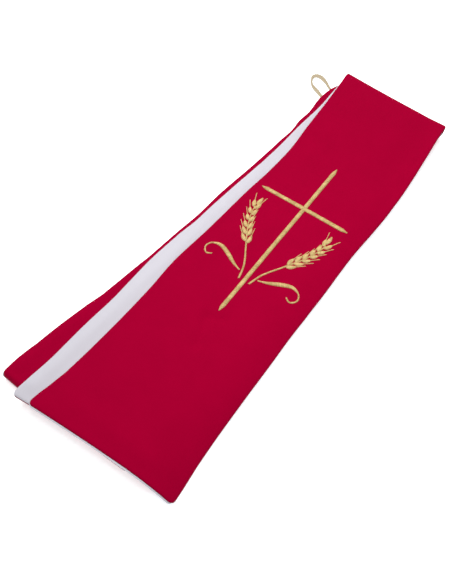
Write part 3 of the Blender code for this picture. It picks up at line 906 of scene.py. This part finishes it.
def make_loop(material):
    """A flat plaited braid: two rows of slanting strands with a groove between."""
    twisted = [(along, across, shown) for (along, across), shown in zip(LOOP_ROUTE, LOOP_SHOWN)]
    route, tangent, run = even_route(smooth_route(twisted, CURVE_POINTS), RING_STEP)
    side = sideways(tangent)
    angles = 2 * pi * np.arange(LOOP_SIDES) / LOOP_SIDES
    points, tones = [], []
    for i in range(len(route)):
        offset = route[i, 2] * np.cos(angles)
        slant = np.abs(offset) * STRAND_SLANT
        row_shift = np.where(offset > 0, 0.5, 0.0) * PLAIT_PITCH
        strand = 0.5 + 0.5 * np.cos(2 * pi * (run[i] - slant + row_shift) / PLAIT_PITCH)
        groove = np.exp(-(offset / GROOVE_HALF_WIDTH) ** 2)
        swell = PLAIT_BASE + PLAIT_STRAND * strand - PLAIT_GROOVE * groove
        hidden_width = max(LOOP_HALF_WIDTH - route[i, 2], 0.0)
        thick = LOOP_HALF_THICKNESS * (1.0 + TWIST_THICKENS * hidden_width)
        height = thick * (1.0 + np.sin(angles) * swell)
        wide = offset * (WAIST + WAIST_STRAND * strand)
        along = route[i, 0] + wide * side[i, 0]
        across = route[i, 1] + wide * side[i, 1]
        points.append(place(along, across, height))
        # painted shade: darker between the strands and in the groove
        tones.append(GAP_SHADE_TONE + TONE_STRAND * strand * (1 - GROOVE_SHADE * groove))
    points, tones = np.array(points), np.array(tones)
    rings, sides = tones.shape
    index = np.arange(rings * sides).reshape(rings, sides)
    after = np.roll(index, -1, axis=1)
    quads = np.stack((index[:-1], index[1:], after[1:], after[:-1]), axis=-1).reshape(-1, 4).tolist()
    quads += [index[0].tolist(), index[-1][::-1].tolist()]
    mesh = bpy.data.meshes.new("loop_of_braid")
    mesh.from_pydata(points.reshape(-1, 3), [], quads)
    mesh.attributes.new("tone", "FLOAT", "POINT").data.foreach_set("value", tones.ravel().astype(np.float32))
    loop = smooth_piece("loop_of_braid", mesh, material)
    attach(loop, BODY)
    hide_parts("hanging_loop")
    return loop


# ---- embroidery

STITCH_PITCH = 0.40
STITCH_SLANT = 16.0
THREAD_HALF_WIDTH, THREAD_HALF_HEIGHT = 0.23, 0.16
STITCH_STATIONS = (-1.0, -0.86, -0.5, 0.0, 0.5, 0.86, 1.0)
STITCH_SINK = 0.1  # a stitch's ends go this far into the cloth
FULL_CROWN, LOW_CROWN = 0.85, 0.3
THINNEST_STROKE = 0.25
LENGTH_JITTER, CROWN_JITTER = 0.07, 0.4  # millimetres, and the share of it that the height takes
TONE_JITTER, TONE_WAVE, WAVE_RUN = 0.28, 0.15, 2.3
# The underlay's section: shares of the stroke's half width, and of its crown
UNDERLAY_SECTION = ((-0.92, -0.3), (0.92, -0.3), (0.9, 0.2), (0.5, 0.62), (-0.5, 0.62), (-0.9, 0.2))
# painted shade: the underlay shows only in the gaps between stitches, so it gets the thread's darkest tone
UNDERLAY_SHADE_TONE = 0.12
UNDERLAY_EVERY = 4  # stitches to each of its sections


class Stitches:
    """A mesh of satin stitches and their underlay, sewn on side A's red face."""

    def __init__(self, name, seed):
        self.name = name
        self.random = random.Random(seed)
        self.points, self.tones, self.faces = [], [], []

    def ring_strip(self, rings, tone):
        """Rings of the same number of points, joined into a closed tube."""
        first = len(self.points)
        count = len(rings[0])
        for ring in rings:
            self.points.extend(ring)
            self.tones.extend([tone] * count)
        for i in range(len(rings) - 1):
            for j in range(count):
                k = (j + 1) % count
                a, b = first + i * count, first + (i + 1) * count
                self.faces.append((a + j, a + k, b + k, b + j))
        self.faces.append(tuple(range(first + count - 1, first - 1, -1)))
        last = first + (len(rings) - 1) * count
        self.faces.append(tuple(range(last, last + count)))

    def thread(self, ends, lean, crown, tone):
        """One stitch, arched from its one end to the other. lean is the stroke's own direction."""
        (a0, c0), (a1, c1) = ends
        rings = []
        for t in STITCH_STATIONS:
            share = (t + 1) / 2
            along, across = mix(a0, a1, share), mix(c0, c1, share)
            lift = crown * (1 - t * t) ** 0.5 - STITCH_SINK
            height = float(top_surface(along, across)) + lift
            ring = []
            for wide, high in ((1, 0), (0, 1), (-1, 0), (0, -1)):
                ring.append((
                    along + wide * THREAD_HALF_WIDTH * lean[0],
                    across + wide * THREAD_HALF_WIDTH * lean[1],
                    height + high * THREAD_HALF_HEIGHT,
                ))
            rings.append(ring)
        self.ring_strip(rings, tone)

    def underlay(self, route, side, widths, crowns):
        """The padding that a stroke's stitches arch over, in a dark tone that paints the shade in the gaps
        between the stitches.
        """
        rings = []
        for (along, across), (side_a, side_c), width, crown in zip(route, side, widths, crowns):
            ring = []
            for offset, lift in UNDERLAY_SECTION:
                a = along + offset * width * side_a
                c = across + offset * width * side_c
                ring.append((a, c, float(top_surface(a, c)) + lift * crown))
            rings.append(ring)
        # painted shade: the underlay's dark tone
        self.ring_strip(rings, UNDERLAY_SHADE_TONE)

    def stroke(self, points, width_at, slant=STITCH_SLANT, tone=0.5):
        """A stroke of satin stitch along a route. width_at gives the half width at a share of it."""
        route, tangent, run = even_route(points, STITCH_PITCH)
        side = sideways(tangent)
        widths = np.array([max(width_at(at / run[-1]), THINNEST_STROKE) for at in run])
        crowns = LOW_CROWN + (FULL_CROWN - LOW_CROWN) * np.minimum(widths / BAR_HALF_WIDTH, 1.0)
        self.underlay(*(values[::UNDERLAY_EVERY] for values in (route, side, widths, crowns)))
        tilt = np.tan(radians(slant))
        for i in range(len(route)):
            jitter = self.random.uniform(-LENGTH_JITTER, LENGTH_JITTER)
            width = widths[i] + jitter
            half = (side[i] + tilt * tangent[i]) * width
            ends = (route[i] - half, route[i] + half)
            wave = TONE_WAVE * sin(run[i] / WAVE_RUN)
            shade = tone + self.random.uniform(-TONE_JITTER, TONE_JITTER) + wave
            self.thread(ends, tangent[i], crowns[i] + CROWN_JITTER * jitter, min(max(shade, 0.0), 1.0))

    def made(self, material, *nodes):
        """The finished piece, in place of its nodes."""
        points = np.array(self.points)
        mesh = bpy.data.meshes.new(self.name)
        mesh.from_pydata(place(*points.T), [], self.faces)
        tone = mesh.attributes.new("tone", "FLOAT", "POINT")
        tone.data.foreach_set("value", np.array(self.tones, np.float32))
        piece = smooth_piece(self.name, mesh, material)
        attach(piece, BODY)
        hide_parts(*nodes)
        return piece


POINT_WIDTH = 0.2  # a bar's share of width at the tip of its point
FULLNESS = 0.8  # under 1, a leaf or grain is fuller than a sine


def bar_width(length, tapered_start, tapered_end):
    """Half width along a bar that runs to a point at its tapered ends."""
    def width(share):
        from_start = share * length if tapered_start else length
        from_end = (1 - share) * length if tapered_end else length
        return BAR_HALF_WIDTH * mix(POINT_WIDTH, 1.0, min(min(from_start, from_end) / POINT_LENGTH, 1.0))
    return width


def leaf_width(share):
    blade = min(share / LEAF_BLADE, 1.0)
    return max(LEAF_HALF_WIDTH * max(sin(pi * blade), 0.0) ** FULLNESS, CURL_HALF_WIDTH)


GRAIN_END_WIDTH, GRAIN_SWELL = 0.3, 1.55  # half widths: at its ends, and what its middle adds
GRAIN_LENGTH = 9.2
GRAIN_LEAN = 25.0
GRAIN_SLANT = -22.0
GRAIN_ROOT = 0.8  # a grain starts this far off the stalk
GRAIN_BOW = 0.7
GRAIN_STAGGER = 1.6  # one grain of a pair sits this much higher
GRAIN_VARIES = 0.14  # share of the length
GRAIN_CURVE_POINTS = 8
FIRST_GRAIN, GRAIN_SPARE = 0.1, 0.9  # in spacings: below the first pair, and added to the pairs
LAST_GRAIN = 0.16  # the tip grain starts this share of the ear before its end
STEM_IN_EAR = 0.8  # share of the ear that its stem reaches into
STEM_TAPER = 0.35
STEM_SLANT, AWN_SLANT = 35.0, 55.0
STEM_TONE, GRAIN_TONE, AWN_TONE = 0.4, 0.55, 0.6
EAR_STEP = 0.5
AWN_LENGTH = 7.0
AWN_HALF_WIDTH = 0.32
AWN_FORWARD, AWN_UPWARD = 0.75, 0.35  # an awn's direction: as its grain points, as the stalk runs


def grain_width(share):
    return GRAIN_END_WIDTH + GRAIN_SWELL * max(sin(pi * share ** FULLNESS), 0.0) ** FULLNESS


def stem_width(share):
    return STALK_HALF_WIDTH * (1 - STEM_TAPER * share)


def awn_width(share):
    return AWN_HALF_WIDTH


def sprig_plan(route, side):
    """A route beside the upright, on its left (-1) or its right (1)."""
    return [(along, UPRIGHT_FOOT[1] + side * across) for along, across in route]


def wheat(stitches, side):
    """A stalk, paired grains that overlap upwards, a last grain at the tip, and fine awns."""
    plan = sprig_plan(SPRAY_ROUTE, side)
    route, tangent, run = even_route(smooth_route(plan, CURVE_POINTS), EAR_STEP)
    ear_from = EAR_START * run[-1]
    ear_length = run[-1] - ear_from

    def at(distance):
        i = int(np.argmin(np.abs(run - distance)))
        return route[i], tangent[i]

    stem = route[run <= ear_from + STEM_IN_EAR * ear_length]
    stitches.stroke(stem, stem_width, slant=STEM_SLANT, tone=STEM_TONE)
    for k in range(GRAINS):
        base = ear_from + ear_length * (k + FIRST_GRAIN) / (GRAINS + GRAIN_SPARE)
        for lean in (-1, 1):
            start, direction = at(base + (0.0 if lean > 0 else GRAIN_STAGGER))
            turn = radians(lean * GRAIN_LEAN)
            forward = np.array((
                direction[0] * cos(turn) - direction[1] * sin(turn),
                direction[0] * sin(turn) + direction[1] * cos(turn),
            ))
            root = start + forward * GRAIN_ROOT
            tip = root + forward * GRAIN_LENGTH * (1 - GRAIN_VARIES + GRAIN_VARIES * cos(k))
            middle = (root + tip) / 2 + np.array((-forward[1], forward[0])) * lean * GRAIN_BOW
            bowed = smooth_route([tuple(root), tuple(middle), tuple(tip)], GRAIN_CURVE_POINTS)
            stitches.stroke(bowed, grain_width, slant=GRAIN_SLANT * lean, tone=GRAIN_TONE)
            awn_tip = tip + (forward * AWN_FORWARD + direction * AWN_UPWARD) * AWN_LENGTH
            stitches.stroke([tuple(tip), tuple(awn_tip)], awn_width, slant=AWN_SLANT, tone=AWN_TONE)
    start, direction = at(run[-1] - LAST_GRAIN * ear_length)
    stitches.stroke([tuple(start), tuple(start + direction * GRAIN_LENGTH)], grain_width, tone=AWN_TONE)


# Seeds of the random draws. Each side adds its own -1 or 1.
UPRIGHT_SEED, ARM_SEED, WHEAT_SEED, LEAF_SEED = 11, 20, 40, 60
ARM_ROOT = 0.7  # an arm starts inside the upright, at this share of its half width


def make_embroidery(material):
    """The cross, with a wheat ear and a curled leaf on each side."""
    pieces = []
    upright = Stitches("stitched_upright", UPRIGHT_SEED)
    length = UPRIGHT_HEAD[0] - UPRIGHT_FOOT[0]
    upright.stroke([UPRIGHT_FOOT, UPRIGHT_HEAD], bar_width(length, True, True))
    pieces.append(upright.made(material, "cross_upright"))
    for name, side in (("left", -1), ("right", 1)):
        arm = Stitches(f"stitched_arm_{name}", ARM_SEED + side)
        root = UPRIGHT_FOOT[1] + side * BAR_HALF_WIDTH * ARM_ROOT
        tip = UPRIGHT_FOOT[1] + side * ARM_REACH
        arm.stroke([(CROSSING_ALONG, root), (CROSSING_ALONG, tip)],
                   bar_width(abs(tip - root), False, True), slant=-STITCH_SLANT)
        pieces.append(arm.made(material, f"cross_arm_{name}"))
        ear = Stitches(f"stitched_wheat_{name}", WHEAT_SEED + side)
        wheat(ear, side)
        pieces.append(ear.made(material, f"wheat_{name}"))
        leaf = Stitches(f"stitched_leaf_{name}", LEAF_SEED + side)
        plan = sprig_plan(LEAF_ROUTE, side)
        leaf.stroke(smooth_route(plan, CURVE_POINTS), leaf_width, slant=STITCH_SLANT * side)
        pieces.append(leaf.made(material, f"leaf_{name}"))
    return pieces


# ---- cloths

SHOWN_NODES = {
    "side_a_red": ("top_red_face",),
    "side_a_white": ("top_white_face",),
    "side_b_red": ("second_red_face", "third_red_face"),
    "side_b_white": ("second_white_face", "third_white_face"),
}


def make_cloths(red, white, stitched):
    """The four faces of cloth. The argument stitched, the pieces sewn on side A's red face, is not used."""
    for side_name, courses in (("a", side_a()), ("b", side_b())):
        for colour, course, material in zip(("red", "white"), courses, (red, white)):
            piece = cloth_mesh(f"side_{side_name}_{colour}", course, material)
            nodes = SHOWN_NODES[piece.name]
            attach(piece, BODY)
            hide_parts(*nodes, "folded_layers")


# ---- stage

FLOOR_REACH = 3.0
FLOOR_DROP = 0.0001  # the floor lies this far under the part, so that their faces don't meet
FLOOR_COLOUR = (0.90, 0.98, 0.99, 1)
FLOOR_GLOW = 0.57  # keeps the floor near white, with soft shadows
WHITE_LIGHT = (1.0, 1.0, 1.0)
SKY_STRENGTH = 0.44


def make_floor():
    """A plain pale floor."""
    mesh = bpy.data.meshes.new("floor")
    corners = [(-1, -1), (1, -1), (1, 1), (-1, 1)]
    mesh.from_pydata([(x * FLOOR_REACH, y * FLOOR_REACH, 0) for x, y in corners], [], [(0, 1, 2, 3)])
    floor = linked("floor", mesh)
    floor.location.z = -FLOOR_DROP
    nodes = Nodes("pale_floor")
    nodes.shader.inputs["Base Color"].default_value = FLOOR_COLOUR
    nodes.shader.inputs["Emission Color"].default_value = (*WHITE_LIGHT, 1)
    nodes.shader.inputs["Emission Strength"].default_value = FLOOR_GLOW
    nodes.shader.inputs["Roughness"].default_value = 1.0
    nodes.shader.inputs["Specular IOR Level"].default_value = 0.0
    mesh.materials.append(nodes.material)


def soft_light(name, position, size, watts):
    """A square soft light that faces the middle of the part."""
    light = bpy.data.lights.new(name, "AREA")
    light.shape = "SQUARE"
    light.size = size
    light.energy = watts
    light.color = WHITE_LIGHT
    made = linked(name, light)
    made.location = position
    made.rotation_euler = Vector(position).to_track_quat("Z", "Y").to_euler()


def make_lights():
    """Plain studio light: an even surround, and three soft lights."""
    world = bpy.data.worlds.new("studio")
    world.use_nodes = True
    background = world.node_tree.nodes["Background"]
    background.inputs["Color"].default_value = (*WHITE_LIGHT, 1)
    background.inputs["Strength"].default_value = SKY_STRENGTH
    bpy.context.scene.world = world
    soft_light("overhead", position=(0.0, -0.16, 2.5), size=0.5, watts=7.3)
    soft_light("left", position=(-0.88, 0.74, 1.42), size=0.7, watts=26.5)
    soft_light("near", position=(0.10, 0.0, 0.46), size=0.12, watts=1.02)


make_camera()
make_loop(loop_braid())
red_cloth = gabardine("red_gabardine", RED_DYE_AND_SHADE)
white_cloth = gabardine("white_gabardine", WHITE_DYE_AND_SHADE)
make_cloths(red_cloth, white_cloth, stitched=make_embroidery(embroidery_thread()))
make_floor()
make_lights()
bpy.context.scene.view_settings.view_transform = "Standard"
